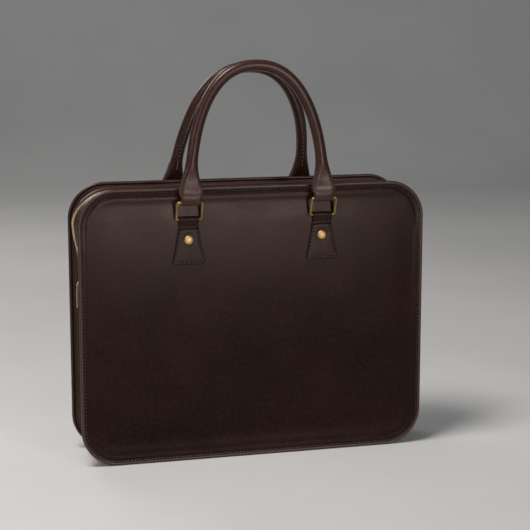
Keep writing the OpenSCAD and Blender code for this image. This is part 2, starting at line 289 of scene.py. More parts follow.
class Nodes:
    """Short calls for building a node tree."""

    def __init__(self, name):
        self.material = bpy.data.materials.new(name)
        self.material.use_nodes = True
        self.tree = self.material.node_tree
        self.shader = self.tree.nodes["Principled BSDF"]
        self.coords = self.tree.nodes.new("ShaderNodeTexCoord")

    def put(self, socket, value):
        """Links another node's output to a socket, or sets its number or colour."""
        if isinstance(value, bpy.types.NodeSocket):
            self.tree.links.new(value, socket)
        elif socket.type == "RGBA" and len(value) == 3:
            socket.default_value = (*value, 1)
        else:
            socket.default_value = value

    def add(self, kind, inputs, **settings):
        node = self.tree.nodes.new("ShaderNode" + kind)
        for key, value in settings.items():
            setattr(node, key, value)
        for key, value in inputs.items():
            self.put(node.inputs[key], value)
        return node

    def set(self, **values):
        for key, value in values.items():
            self.put(self.shader.inputs[key.replace("_", " ")], value)

    def place(self, scale=(1, 1, 1), turn=0.0, source="Object"):
        node = self.add("Mapping", {"Scale": scale, "Rotation": (0, 0, turn),
                                    "Vector": self.coords.outputs[source]})
        return node.outputs["Vector"]

    def noise(self, scale, detail=4.0, rough=0.55, vector=None, distortion=0.0):
        node = self.add("TexNoise", {"Scale": scale, "Detail": detail, "Roughness": rough,
                                     "Distortion": distortion,
                                     "Vector": vector or self.coords.outputs["Object"]})
        return node.outputs["Fac"]

    def cells(self, scale):
        node = self.add("TexVoronoi", {"Scale": scale, "Vector": self.coords.outputs["Object"]},
                        feature="DISTANCE_TO_EDGE")
        return node.outputs["Distance"]

    def wave(self, scale, vector, distortion, direction="DIAGONAL"):
        node = self.add("TexWave", {"Scale": scale, "Distortion": distortion, "Vector": vector},
                        wave_profile="SIN", bands_direction=direction)
        return node.outputs["Fac"]

    def ramp(self, value, stops):
        """A ramp between two greys or colours."""
        node = self.add("ValToRGB", {"Fac": value})
        for element, (place, colour) in zip(node.color_ramp.elements, stops):
            element.position = place
            element.color = (*colour, 1) if isinstance(colour, tuple) else (colour,) * 3 + (1,)
        return node.outputs["Color"]

    def math(self, kind, a, b):
        return self.add("Math", {0: a, 1: b}, operation=kind).outputs[0]

    def weigh(self, *terms):
        """The sum of (value, weight) terms."""
        total = None
        for value, weight in terms:
            part = self.math("MULTIPLY", value, weight)
            total = self.math("ADD", total, part) if total else part
        return total

    def mix(self, factor, a, b):
        return self.add("Mix", {0: factor, 6: a, 7: b}, data_type="RGBA").outputs[2]

    def bump(self, height, strength, distance):
        node = self.add("Bump", {"Strength": strength, "Distance": distance, "Height": height})
        self.set(Normal=node.outputs["Normal"])

    def convex_mask(self, low, high):
        node = self.add("NewGeometry", {})
        return self.ramp(node.outputs["Pointiness"], [(low, 0.0), (high, 1.0)])


def leather(name, deep, base, worn, rough, edge_wear_and_highlight, grain, gloss, coat):
    """Smooth pull-up leather: cloudy colour, fine pores and creases, and convex edges lightened, partly as rubbing
    wear and partly as a painted highlight on the crowns.
    """
    m = Nodes(name)
    cloud = m.noise(11, 5, 0.6)
    mottle = m.noise(240, 5, 0.65)
    colour = m.mix(m.ramp(cloud, [(0.35, 0.0), (0.68, 1.0)]), deep, base)
    colour = m.mix(m.math("MULTIPLY", m.ramp(mottle, [(0.4, 0.0), (0.75, 1.0)]), 0.45), colour, worn)
    # Convex edges and crowns are mixed towards the light tone: partly rubbing wear, partly a painted highlight.
    rub_and_highlight = m.math("MULTIPLY", m.convex_mask(0.51, 0.58), edge_wear_and_highlight)
    colour = m.mix(rub_and_highlight, colour, worn)
    m.set(Base_Color=colour)
    haze = m.noise(24, 6, 0.65)
    spots = m.noise(700, 2, 0.5)
    m.set(Roughness=m.math("ADD", m.weigh((haze, 0.22), (spots, 0.10)), rough - 0.16))
    pores = m.ramp(m.cells(1500), [(0.02, 0.0), (0.22, 1.0)])
    wrinkle = m.noise(420, 6, 0.62, distortion=0.6)
    fine = m.noise(2600, 2, 0.5)
    m.bump(m.weigh((pores, 0.35), (wrinkle, 0.8), (fine, 0.25)), grain, 0.00012)
    m.set(Specular_IOR_Level=gloss, Specular_Tint=(1.0, 0.74, 0.66, 1), Coat_Weight=coat,
          Coat_Roughness=0.24, Coat_Tint=(1.0, 0.86, 0.8, 1))
    return m.material


def edge_paint(name):
    """Burnished cut edge: darker, waxed and faintly fibrous."""
    m = Nodes(name)
    fibre = m.noise(900, 5, 0.6)
    m.set(Base_Color=m.ramp(fibre, [(0.3, (0.004, 0.0025, 0.002)), (0.8, (0.016, 0.009, 0.007))]))
    m.set(Roughness=m.ramp(fibre, [(0.2, 0.28), (0.9, 0.5)]))
    m.bump(fibre, 0.35, 0.0001)
    m.set(Specular_IOR_Level=0.1)
    return m.material


def thread(name, dark, light):
    """Waxed thread with its two plies twisting round each other."""
    m = Nodes(name)
    twist = m.noise(1800, 2, 0.5)
    m.set(Base_Color=m.ramp(twist, [(0.35, dark), (0.7, light)]))
    m.bump(m.noise(3200, 3, 0.6), 0.5, 0.0001)
    m.set(Roughness=0.46, Sheen_Weight=0.2)
    return m.material


def painted_hole_shade(name):
    m = Nodes(name)
    # Near black: painted shade standing in for the depth of the awl holes.
    m.set(Base_Color=m.ramp(m.noise(2000, 2), [(0.3, (0.002, 0.0013, 0.001)), (0.8, (0.008, 0.005, 0.004))]))
    m.set(Roughness=0.9, Specular_IOR_Level=0.1)
    return m.material


def brass(name, bright, tarnish, rough, tarnish_share):
    """Brass with tarnish left in its hollows, hairline scratches and worn high spots."""
    m = Nodes(name)
    patch = m.noise(160, 5, 0.6)
    wear = m.convex_mask(0.49, 0.56)
    dull = m.math("MULTIPLY", m.ramp(patch, [(0.35, 0.0), (0.7, 1.0)]), tarnish_share)
    colour = m.mix(dull, bright, tarnish)
    colour = m.mix(m.math("MULTIPLY", wear, 0.4), colour, bright)
    m.set(Base_Color=colour)
    hair = m.noise(300, 3, 0.5, m.place((1, 30, 4), 0.6))
    m.set(Roughness=m.math("ADD", m.weigh((patch, 0.2), (hair, 0.1)), rough - 0.15))
    m.bump(m.math("ADD", hair, m.noise(500, 3)), 0.15, 0.00005)
    m.set(Metallic=1.0)
    return m.material


def zip_tape(name):
    """Herringbone woven tape; the weave follows the tape's own length."""
    m = Nodes(name)
    place = m.place(source="UV")
    weave = m.math("MULTIPLY", m.wave(90, place, 0.4), m.wave(260, place, 0.2, "Y"))
    m.set(Base_Color=m.ramp(weave, [(0.1, (0.006, 0.004, 0.0035)), (0.8, (0.026, 0.018, 0.015))]))
    m.bump(weave, 0.8, 0.0002)
    m.set(Roughness=0.85, Sheen_Weight=0.35, Sheen_Roughness=0.4, Specular_IOR_Level=0.2)
    return m.material


def twill(name, dark, light):
    """Cotton twill with slubs."""
    m = Nodes(name)
    diagonal = m.wave(420, m.place(), 0.7)
    slub = m.noise(120, 4, 0.6, m.place((1, 1, 6)))
    weave = m.weigh((diagonal, 0.7), (slub, 0.5))
    m.set(Base_Color=m.ramp(weave, [(0.2, dark), (0.95, light)]))
    m.bump(weave, 0.6, 0.0002)
    m.set(Roughness=0.9, Sheen_Weight=0.3, Specular_IOR_Level=0.15)
    return m.material


def fibre_board(name):
    m = Nodes(name)
    fleck = m.noise(300, 6, 0.7)
    m.set(Base_Color=m.ramp(fleck, [(0.3, (0.16, 0.12, 0.075)), (0.75, (0.34, 0.27, 0.18))]))
    m.bump(fleck, 0.4, 0.0002)
    m.set(Roughness=0.88)
    return m.material


def rope(name):
    m = Nodes(name)
    lay = m.wave(130, m.place(turn=0.7), 1.0)
    m.set(Base_Color=m.ramp(lay, [(0.1, (0.22, 0.17, 0.11)), (0.9, (0.5, 0.43, 0.32))]))
    m.bump(lay, 1.0, 0.0006)
    m.set(Roughness=0.95, Sheen_Weight=0.3)
    return m.material


DEEP, BASE, WORN_AND_LIT = (0.0068, 0.0023, 0.0017), (0.0130, 0.0046, 0.0034), (0.032, 0.015, 0.012)
M = {
    "panel_leather": leather("panel_leather", DEEP, BASE, WORN_AND_LIT, 0.205, 0.5, 0.14, 0.12, 0.0),
    "binding_leather": leather("binding_leather", (0.014, 0.0055, 0.0042), (0.026, 0.0115, 0.009),
                               (0.07, 0.038, 0.031), 0.34, 0.8, 0.2, 0.42, 0.15),
    "gusset_leather": leather("gusset_leather", (0.020, 0.0072, 0.0054), (0.040, 0.0160, 0.0120),
                              (0.07, 0.034, 0.027), 0.40, 0.4, 0.35, 0.45, 0.0),
    "trim_leather": leather("trim_leather", (0.0085, 0.0032, 0.0024), (0.016, 0.0064, 0.0049),
                            (0.038, 0.019, 0.016), 0.30, 0.7, 0.3, 0.17, 0.02),
    "handle_leather": leather("handle_leather", (0.016, 0.0058, 0.0044), (0.031, 0.0122, 0.0094),
                              (0.07, 0.036, 0.029), 0.31, 0.8, 0.2, 0.24, 0.16),
    "zip_tape": zip_tape("zip_tape"),
    "lining_cloth": twill("lining_cloth", (0.085, 0.060, 0.040), (0.19, 0.14, 0.10)),
    "cord_core": rope("cord_core"),
    "board": fibre_board("board"),
    "zip_brass": brass("zip_brass", (0.62, 0.46, 0.24), (0.20, 0.13, 0.06), 0.30, 0.55),
    "rivet_brass": brass("rivet_brass", (0.72, 0.48, 0.21), (0.36, 0.22, 0.085), 0.50, 0.45),
    "ring_brass": brass("ring_brass", (0.36, 0.235, 0.095), (0.11, 0.068, 0.028), 0.38, 0.65),
    "edge": edge_paint("burnished_edge"),
    "thread": thread("brown_thread", (0.016, 0.0085, 0.0068), (0.050, 0.029, 0.023)),
    "pale_thread": thread("worn_thread", (0.085, 0.058, 0.047), (0.25, 0.19, 0.155)),
    "hole": painted_hole_shade("painted_hole_shade"),
}


def dress_cad_nodes():
    """Every node that stays in view or inside takes the procedural material of its slot."""
    slots = {row["node"]: row["material_slot"] for row in frame["record"]["subparts"]}
    for name, obj in frame["nodes"].items():
        for place in obj.material_slots:
            place.material = M[slots[name]]


def piece(obj, body):
    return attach(obj, body)


# --- Stitches ---------------------------------------------------------------

STITCH_RINGS = 6
STITCH_SIDES = 6
STITCH_SLANT = 0.12


def stitch_row(name, stations, length, radius, rise, body, material="thread"):
    """One mesh of separate threads. A station is (middle, direction, outward)."""
    verts, faces = [], []
    for place, along, out in stations:
        along = (along + along.cross(out).normalized() * STITCH_SLANT).normalized()
        across = along.cross(out).normalized()
        first = len(verts)
        for i in range(STITCH_RINGS + 1):
            t = i / STITCH_RINGS * 2 - 1
            r = radius * math.sqrt(max(0.0, 1 - t ** 4)) + 0.02
            centre = place + along * (t * length / 2) + out * (rise * (1 - t * t) - radius * 0.6 * t * t)
            verts += [centre + across * (r * math.cos(a)) + out * (r * 0.8 * math.sin(a))
                      for a in turns(STITCH_SIDES)]
        faces += bands(first, STITCH_SIDES, STITCH_RINGS)
        faces += [cap(first, STITCH_SIDES), cap(len(verts) - STITCH_SIDES, STITCH_SIDES)]
    return piece(make(name, verts, faces, M[material]), body)


HOLE_SIDES = 10
HOLE_DISH = 0.05
HOLE_REACH = 8.0


def hole_row(name, stations, radius, body, proud=0.10):
    """Small pressed awl holes, each a shallow dish lying on the floor of the stitch groove, coloured near black as
    painted shade for the hole's depth.
    """
    verts, faces = [], []
    for place, along, out in stations:
        across = along.cross(out).normalized()
        first = len(verts)
        verts.append(place + out * (proud - HOLE_DISH))
        verts += [place + along * (radius * 1.5 * math.cos(a)) + across * (radius * math.sin(a))
                  + out * proud for a in turns(HOLE_SIDES)]
        faces += [(first, first + 1 + k, first + 1 + (k + 1) % HOLE_SIDES) for k in range(HOLE_SIDES)]
    mesh = bpy.data.meshes.new(name)
    mesh.from_pydata([v * MM for v in verts], [], faces)
    return piece(finish_mesh(name, mesh, M["hole"]), body)


def between(stations):
    """Stations halfway between neighbours, for the holes between the stitches."""
    return [((a[0] + b[0]) / 2, a[1], a[2]) for a, b in zip(stations, stations[1:])
            if (a[0] - b[0]).length < HOLE_REACH]


# --- Panels -----------------------------------------------------------------

STITCH_INSET = 5.0
CREASE_INSET = 8.7
GROOVE_INSETS = [3.3, 3.7, 4.0, 4.4, 4.7, 5.0, 5.3, 5.6, 6.0, 6.5, 7.1, 7.7, 8.2, 8.42, 8.58, 8.7, 8.82,
                 8.98, 9.2, 9.7, 10.6, 12, 14, 16.5, 19.5, 23, 27, 31, 35]
INNER_SCALES = [0.96, 0.9, 0.83, 0.75, 0.66, 0.57, 0.48, 0.39, 0.3, 0.21, 0.13, 0.06]
ripple = waves(11, 7, 0.012, 0.045)
soft_swell = waves(5, 5, 0.008, 0.021)


def panel_rise(inset, x, z):
    """Height of the leather above the CAD face: a welt that slopes in from the bead, the stitch groove,
    the crease where the board ends, a fuller middle and a hollow above the foot."""
    head = 0.3 + 0.7 * ease(z, 225, 285)
    foot = 1 - ease(z, 12, 60)
    welt = 0.30 - 0.6 * head * ease(inset, 3.2, 7.6) + (0.6 * head - 0.30) * ease(inset, CREASE_INSET, 11.5)
    welt -= 0.25 * foot * ease(inset, 3.2, 12) * (1 - ease(inset, 12, 26))
    groove = -0.12 * bump_at(inset, STITCH_INSET, 0.8)
    crease = -0.28 * bump_at(inset, CREASE_INSET, 0.22) + 0.09 * bump_at(inset, CREASE_INSET + 0.6, 0.35)
    crease *= head
    full = 0.8 * ease(z, 46, 165) * (1 - ease(z, 165, 290)) * (1 - 0.5 * (x / HALF_W) ** 2)
    hollow = -1.0 * bump_at(inset, 26, 10) * (1 - ease(z, 40, 66)) - 0.5 * ease(z, 260, 290)
    shape = full * ease(inset, 9, 40) + hollow * ease(inset, 9, 20)
    loose = (0.7 - 0.45 * ease(z, 170, 225)) * ease(z, 40, 95)
    unrest = 0.07 * ripple(x, z) * ease(inset, 9, 30) + loose * soft_swell(x, z) * ease(inset, 12, 60)
    return welt + groove + crease + shape + unrest


def panel(side):
    out = SIDES[side]
    stops = rim_stops(0, RIM_LENGTH)[:-1]
    size = len(stops)
    rings = [[(rim_point(s, inset, 0), inset) for s in stops] for inset in GROOVE_INSETS]
    deepest = rings[-1]
    reach = (TOP_Z - BOTTOM_Z) / 2 - GROOVE_INSETS[-1]
    for scale in INNER_SCALES:
        inset = GROOVE_INSETS[-1] + (1 - scale) * reach
        rings.append([(MIDDLE + (p - MIDDLE) * scale, inset) for p, _ in deepest])
    points = [point for ring in rings for point in ring] + [(MIDDLE, reach)]
    verts = [(p.x, out * (FACE_Y + panel_rise(inset, p.x, p.z)), p.z) for p, inset in points]
    tip = len(verts) - 1
    faces = bands(0, size, len(rings) - 1) + fan(tip - size, size, tip)
    verts += [tuple(rim_point(s, GROOVE_INSETS[0], out * BOARD_Y)) for s in stops]
    faces += join(0, tip + 1, size) + [cap(tip + 1, size)]
    obj = make(f"{side}_panel_skin", verts, faces, M["panel_leather"])
    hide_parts(f"{side}_panel")
    return piece(obj, f"case_{side}")


STITCH_PITCH = 3.75


def rim_stations(start, end, inset, y, out_y, pitch=STITCH_PITCH):
    found = []
    for s in spread(start, end, round((end - start) / pitch)):
        a, b = rim_point(s - 0.5, inset, y), rim_point(s + 0.5, inset, y)
        found.append(((a + b) / 2, (b - a).normalized(), Vector((0, out_y, 0))))
    return found


def panel_stitches(side):
    out = SIDES[side]
    surface = FACE_Y + panel_rise(STITCH_INSET, 0, 100)
    rows = rim_stations(0, RIM_LENGTH, STITCH_INSET, out * surface, out)
    stitch_row(f"{side}_rim_stitches", rows, 2.5, 0.36, 0.16, f"case_{side}")
    hole_row(f"{side}_rim_stitch_holes", between(rows), 0.62, f"case_{side}")


# --- Bindings ---------------------------------------------------------------

BEAD_SIDES = 20
bead_swell = waves(21, 6, 0.02, 0.09)
JOIN_S = -6.0


def bead_radius(s):
    """The rolled leather is a little uneven, and its two ends lap at the middle of the bottom."""
    lap = 0.10 * bump_at(s, JOIN_S, 3.2) - 0.16 * bump_at(s, JOIN_S + 4.6, 0.7)
    return BEAD_R * (1 + 0.018 * bead_swell(s)) + lap


def binding(side):
    out = SIDES[side]
    stops = rim_stops(-30, RIM_LENGTH - 30, 4.0, 1.3)[:-1]
    lap = [JOIN_S + 0.5 * i for i in range(-8, 19)]
    stops = sorted([s for s in stops if not lap[0] - 0.4 < s < lap[-1] + 0.4] + lap)
    rings = []
    for s in stops:
        ring = []
        for a in turns(BEAD_SIDES):
            r = bead_radius(s - 1.4 * math.sin(a))
            inset = BEAD_R - r * math.cos(a)
            p = rim_point(s, inset, out * (BEAD_Y + r * math.sin(a)))
            p.x = max(-HALF_W, min(HALF_W, p.x))
            p.z = max(RIM_LO.z, min(TOP_Z, p.z))
            ring.append(p)
        rings.append(ring)
    obj = loft(f"{side}_rolled_binding", rings, M["binding_leather"], closed_path=True)
    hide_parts(f"{side}_binding")
    return piece(obj, f"case_{side}")


# --- Gussets and zip --------------------------------------------------------

WALL_Y = FLANGE_Y - LEATHER_T
ZIP_EDGE_Y = box_mm("back_gusset")[0].y
SWELL_S = [height_s(HIGH_Z, "right"), height_s(HIGH_Z, "left")]
SWELL, SWELL_REACH, TOP_LIFT, BROW = 8.0, 31, 3.0, 2.4
sag = waves(31, 5, 0.015, 0.05)


def bulge(s, y):
    """The zip swells outwards where it turns into the two top corners, and stands up along the top."""
    swell = SWELL * sum(bump_at(s, middle, SWELL_REACH) for middle in SWELL_S)
    first, last = SWELL_S
    top = TOP_LIFT * ease(s, first + 20, first + 75) * (1 - ease(s, last - 75, last - 20))
    brow = BROW * ease(s, first + 10, first + 34) * (1 - ease(s, last - 34, last - 10))
    return (swell + top) * (1 - ease(abs(y), 5, 32)) + brow * bump_at(abs(y), 13, 6)


def strip_rings(stops, outline, out):
    """Sweeps (inset, y) points round the rims, lifted at the corners."""
    return [[rim_point(s, inset - bulge(s, y), out * y) for inset, y in outline(s)] for s in stops]


def upper_strip_outline(s):
    """Closed section of an upper gusset strip: flange, turned corner, wall and folded zip edge."""
    hollow = 0.7 + 0.35 * sag(s)
    wall = RECESS + 0.1
    outer = [(PANEL_INSET, FLANGE_Y - 0.05), (PANEL_INSET, WALL_Y), (wall - 1.6, WALL_Y - 0.05),
             (wall - 0.5, WALL_Y - 0.5), (wall, WALL_Y - 1.8), (wall + hollow * 0.7, 27),
             (wall + hollow, 21), (wall + hollow * 0.6, 15), (wall - 0.1, 11.2),
             (wall + 0.25, ZIP_EDGE_Y + 2.3), (wall - 0.35, ZIP_EDGE_Y + 1.2), (wall, ZIP_EDGE_Y)]
    back = wall + LEATHER_T
    return outer + [(back, ZIP_EDGE_Y + 0.1), (back, 15), (back + hollow, 21), (back + hollow * 0.7, 27),
                    (back, WALL_Y), (back, FLANGE_Y - 0.05)]


def upper_strip(side):
    out = SIDES[side]
    stops = rim_stops(height_s(ZIP_END_Z - 4, "right"), height_s(ZIP_END_Z - 4, "left"), 4.0, 1.6)
    obj = loft(f"{side}_gusset_strip", strip_rings(stops, upper_strip_outline, out),
               M["gusset_leather"], uv_scale=0.001)
    sharpen(obj, 50)
    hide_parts(f"{side}_gusset")
    piece(obj, f"case_{side}")
    first, last = stops[0] + 4, stops[-1] - 4
    edge = rim_stations(first, last, 0, out * (ZIP_EDGE_Y + 2.2), 0, 3.4)
    rows = []
    for s, (place, along, _) in zip(spread(first, last, len(edge)), edge):
        n = rim_at(s)[1]
        normal = Vector((n[0], 0, n[1]))
        rows.append((place - normal * (RECESS + 0.05 - bulge(s, ZIP_EDGE_Y)), along, normal))
    stitch_row(f"{side}_zip_stitches", rows, 2.5, 0.28, 0.1, f"case_{side}")
    flange = rim_stations(0, RIM_LENGTH, 5.6, out * (WALL_Y - 0.02), -out)
    stitch_row(f"{side}_flange_stitches", flange, 2.6, 0.30, 0.14, f"case_{side}")
    hole_row(f"{side}_flange_stitch_holes", between(flange), 0.5, f"case_{side}")


def lower_flange(side):
    """The gusset's turned flange along the foot, where the lower gusset meets a rim."""
    out = SIDES[side]
    start = height_s(ZIP_END_Z - 4, "left") - RIM_LENGTH
    stops = rim_stops(start, height_s(ZIP_END_Z - 4, "right"), 4.0, 1.6)
    section = [(PANEL_INSET, FLANGE_Y - 0.05), (PANEL_INSET, WALL_Y), (RECESS - 1.5, WALL_Y - 0.05),
               (RECESS - 0.4, WALL_Y - 0.4), (RECESS + 0.1, WALL_Y - 1.4), (RECESS + 1.2, WALL_Y - 1.4),
               (RECESS + 1.2, FLANGE_Y - 0.05)]
    rings = [[rim_point(s, inset, out * y) for inset, y in section] for s in stops]
    obj = sharpen(loft(f"{side}_lower_flange", rings, M["gusset_leather"]), 50)
    return piece(obj, f"case_{side}")


FOLD_LO, FOLD_HI = box_mm("right_side_gusset")
FOLD_SLACK = 2.5
FOLD_DEPTH = FOLD_HI.x - FOLD_LO.x - FOLD_SLACK
FOLD_ROWS = 13


def fold_depth(s):
    """How far the lower gusset folds inwards: nothing at the foot and at the zip, most between."""
    (_, z), _ = rim_at(s)
    return FOLD_DEPTH * ease(z, LOW_Z - 12, LOW_Z + 34) * (1 - ease(z, ZIP_END_Z - 42, ZIP_END_Z - 3))


def lower_gusset_outline(s, half):
    deep = fold_depth(s)
    outer = []
    for i in range(FOLD_ROWS):
        y = half * (1 - 2 * i / (FOLD_ROWS - 1))
        t = 1 - abs(y) / half
        inset = RECESS + 0.2 + deep * (t ** 1.08) - 0.9 * math.sin(math.pi * t) * ease(deep, 4, 18)
        inset += 0.3 * math.sin(math.pi * (1 - t)) * (1 - ease(deep, 0, 8))
        outer.append((inset, y))
    return outer + [(inset + LEATHER_T, y) for inset, y in reversed(outer)]


def lower_gusset(name, start, end, nodes):
    half = WALL_Y - 0.6
    stops = rim_stops(start, end, 4.0, 1.6)
    rings = [[rim_point(s, inset, y) for inset, y in lower_gusset_outline(s, half)] for s in stops]
    obj = sharpen(loft(name, rings, M["gusset_leather"]), 60)
    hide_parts(*nodes)
    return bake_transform(obj)


def lower_gussets():
    right_top = height_s(ZIP_END_Z - 4.5, "right")
    left_top = height_s(ZIP_END_Z - 4.5, "left") - RIM_LENGTH
    foot = STRAIGHT_X - 4
    lower_gusset("bottom_gusset_skin", -foot, foot, ["bottom_gusset"])
    lower_gusset("right_folding_gusset", foot, right_top,
                 ["right_side_gusset"])
    lower_gusset("left_folding_gusset", left_top, -foot,
                 ["left_side_gusset"])


TAPE_Y0, TAPE_Y1 = box_mm("back_zip_tape")[0].y, box_mm("back_zip_tape")[1].y
TAPE_T = 0.8


def tape(side):
    out = SIDES[side]
    stops = rim_stops(height_s(ZIP_END_Z - 2, "right"), height_s(ZIP_END_Z - 2, "left"), 4.0, 1.6)
    top = RECESS + LEATHER_T + 0.15

    def outline(s):
        return [(top - 0.25, TAPE_Y0 - 1.2), (top - 0.45, TAPE_Y0 - 0.4), (top - 0.2, TAPE_Y0 + 0.6),
                (top, TAPE_Y0 + 1.4), (top, TAPE_Y1), (top + TAPE_T, TAPE_Y1),
                (top + TAPE_T, TAPE_Y0 + 1), (top + 1.1, TAPE_Y0 - 0.4), (top + 0.8, TAPE_Y0 - 1.2)]
    obj = loft(f"{side}_woven_tape", strip_rings(stops, outline, out), M["zip_tape"], uv_scale=1.0)
    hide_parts(f"{side}_zip_tape")
    return piece(obj, f"case_{side}")


TOOTH_PITCH = 2.9
TOOTH_PLUMP = 1.15
TOOTH_SHAPE = [(-1, -0.6), (-0.6, -1), (0.6, -1), (1, -0.6), (1, 0.6), (0.6, 1), (-0.6, 1), (-1, 0.6)]
TOOTH_RINGS = [(-1.25, 1.15, 0.95), (-1.05, 1.3, 1.15), (0.2, 1.3, 1.15), (0.5, 1.0, 1.15),
               (1.4, 0.72, 1.1), (2.1, 0.95, 1.05), (2.75, 0.95, 1.0), (3.05, 0.7, 0.75)]


def teeth(side):
    """Separate cast teeth clamped on the tape's corded edge; the two rows interlock."""
    out = SIDES[side]
    start, end = height_s(ZIP_END_Z + 1, "right"), height_s(ZIP_END_Z + 1, "left")
    count = round((end - start) / TOOTH_PITCH)
    shift = 0.25 if out > 0 else 0.75
    verts, faces = [], []
    for i in range(count):
        s = start + (end - start) * (i + shift) / count
        n = rim_at(s)[1]
        normal = Vector((n[0], 0, n[1]))
        along = Vector((-n[1], 0, n[0]))
        base = rim_point(s, RECESS + LEATHER_T - 0.1 - bulge(s, 0), 0)
        size, first = len(TOOTH_SHAPE), len(verts)
        for reach, half_s, half_n in TOOTH_RINGS:
            for a, b in TOOTH_SHAPE:
                p = base + along * (a * half_s) + normal * (b * half_n * TOOTH_PLUMP)
                verts.append(Vector((p.x, out * (TAPE_Y0 - reach), p.z)))
        faces += bands(first, size, len(TOOTH_RINGS) - 1)
        faces += [cap(first, size), cap(len(verts) - size, size)]
    obj = sharpen(make(f"{side}_tooth_row", verts, faces, M["zip_brass"]), 45)
    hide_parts(f"{side}_zip_teeth")
    return piece(obj, f"case_{side}")


def slab(name, outline, thickness, place, material, edge):
    """A flat shape given by (y, z) points, standing across X, with rounded edges."""
    size = len(outline)
    verts = [(place.x + side * thickness / 2, place.y + y, place.z + z)
             for side in (-1, 1) for y, z in outline]
    faces = [cap(0, size), cap(size, size)] + join(0, size, size)
    return sharpen(bevel(make(name, verts, faces, material), edge, 3), 60)


def round_slab(half_y, z0, z1, radius):
    """Outline of a rectangle with rounded corners, as (y, z) points."""
    return [(y, z) for y, z, _, _ in rounded(half_y, z0, z1, radius)]


SLIDER_HALF, SLIDER_TAPER = 6, 0.20
BAIL_REACH, BAIL_HALF, BAIL_STEPS = 3.4, 3.4, 12


def zip_fittings():
    lo, hi = SEAT
    middle = (lo + hi) / 2
    plate_x = lo.x + BAIL_REACH
    body = round_slab(hi.y - middle.y, -SLIDER_HALF, SLIDER_HALF, 2.6)
    shaped = [(y * (1 - SLIDER_TAPER * ease(-z, 1, SLIDER_HALF)), z) for y, z in body]
    outer, inner, neck = [
        slab(f"zip_slider_{name}", outline, thickness, Vector((x, 0, middle.z)), M["zip_brass"], edge)
        for name, outline, thickness, x, edge in (
            ("face", shaped, 1.5, plate_x, 0.5), ("back", shaped, 1.3, hi.x - 0.7, 0.4),
            ("neck", round_slab(0.55, -5.8, -2, 0.5), hi.x - plate_x - 0.6, (hi.x + plate_x) / 2, 0.1))]
    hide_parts("zip_slider")
    pivot = joint_mm("pull_swing")
    rings = []
    root_x = plate_x - 0.5
    for i in range(BAIL_STEPS + 1):
        a = math.pi * i / BAIL_STEPS
        centre = Vector((root_x - (root_x - pivot.x) * math.sin(a) ** 0.8, 0,
                         pivot.z + BAIL_HALF * math.cos(a)))
        tangent = Vector((-math.cos(a), 0, -1.6 * math.sin(a))).normalized()
        side_way = Vector((tangent.z, 0, -tangent.x))
        rings.append([centre + Vector((0, 1.3 * math.cos(b), 0)) + side_way * (0.55 * math.sin(b))
                      for b in turns(10)])
    bridge = loft("zip_slider_bridge", rings, M["zip_brass"])
    for obj in (outer, inner, neck, bridge):
        piece(obj, "slider")
    zip_pull(pivot)


PULL_STEPS = 40
PULL_T = 1.2
PULL_TOP_HALF, PULL_FOOT_HALF = 2.0, 3.0
PULL_SLOT_R, PULL_SLOT_LENGTH = 1.25, 5.5


def zip_pull(pivot):
    """A flat tapered pull with an eye at the top and a punched slot."""
    length = pivot.z - box_mm("zip_pull")[0].z
    outer, eye, punched = [], [], []
    for a in turns(PULL_STEPS):
        x, z, upper = math.cos(a), math.sin(a), math.sin(a) > 0
        outer.append(((PULL_TOP_HALF if upper else PULL_FOOT_HALF) * x,
                      1.9 * z if upper else -length + PULL_FOOT_HALF + PULL_FOOT_HALF * z))
        eye.append((1.0 * x, 0.55 * z - 0.1))
        punched.append((PULL_SLOT_R * x,
                        -length + 5.6 + PULL_SLOT_R * z + (PULL_SLOT_LENGTH if upper else 0)))
    work = bmesh.new()
    edges = []
    for shape in (outer, eye, punched):
        loop = [work.verts.new((0, y * MM, z * MM)) for y, z in shape]
        edges += [work.edges.new(pair) for pair in zip(loop, loop[1:] + loop[:1])]
    bmesh.ops.triangle_fill(work, use_beauty=True, use_dissolve=False, edges=edges)
    grown = bmesh.ops.extrude_face_region(work, geom=list(work.faces))
    moved = [g for g in grown["geom"] if isinstance(g, bmesh.types.BMVert)]
    bmesh.ops.translate(work, verts=moved, vec=(PULL_T * MM, 0, 0))
    bmesh.ops.translate(work, verts=list(work.verts),
                        vec=((pivot.x - PULL_T / 2) * MM, 0, pivot.z * MM))
    bmesh.ops.recalc_face_normals(work, faces=work.faces)
    mesh = bpy.data.meshes.new("zip_pull_plate")
    work.to_mesh(mesh)
    work.free()
    obj = finish_mesh("zip_pull_plate", mesh, M["zip_brass"])
    sharpen(bevel(obj, 0.25, 2), 50)
    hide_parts("zip_pull")
    piece(obj, "pull")


TAB_STITCH_INSET = 1.8
TAB_STITCHES = (-3.4, 0, 3.4)


def zip_end_tabs():
    for end, sign in ENDS.items():
        lo, hi = box_mm(f"{end}_zip_end_tab")
        middle = (lo + hi) / 2
        outline = round_slab((hi.y - lo.y) / 2, (lo.z - hi.z) / 2, (hi.z - lo.z) / 2, 3.0)
        obj = slab(f"{end}_zip_tab_leather", outline, hi.x - lo.x, middle, M["trim_leather"], 0.5)
        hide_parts(f"{end}_zip_end_tab")
        piece(obj, "case_back")
        face = hi.x if sign > 0 else lo.x
        half_y, half_z = (hi.y - lo.y) / 2 - TAB_STITCH_INSET, (hi.z - lo.z) / 2 - TAB_STITCH_INSET
        places = [(y, z, Z_AXIS) for y in (-half_y, half_y) for z in TAB_STITCHES]
        places += [(y, z, Y_AXIS) for z in (-half_z, half_z) for y in TAB_STITCHES]
        rows = [(Vector((face, y, middle.z + z)), along, sign * X_AXIS) for y, z, along in places]
        stitch_row(f"{end}_zip_tab_stitches", rows, 2.4, 0.28, 0.1, "case_back")


# --- Lining and pocket ------------------------------------------------------

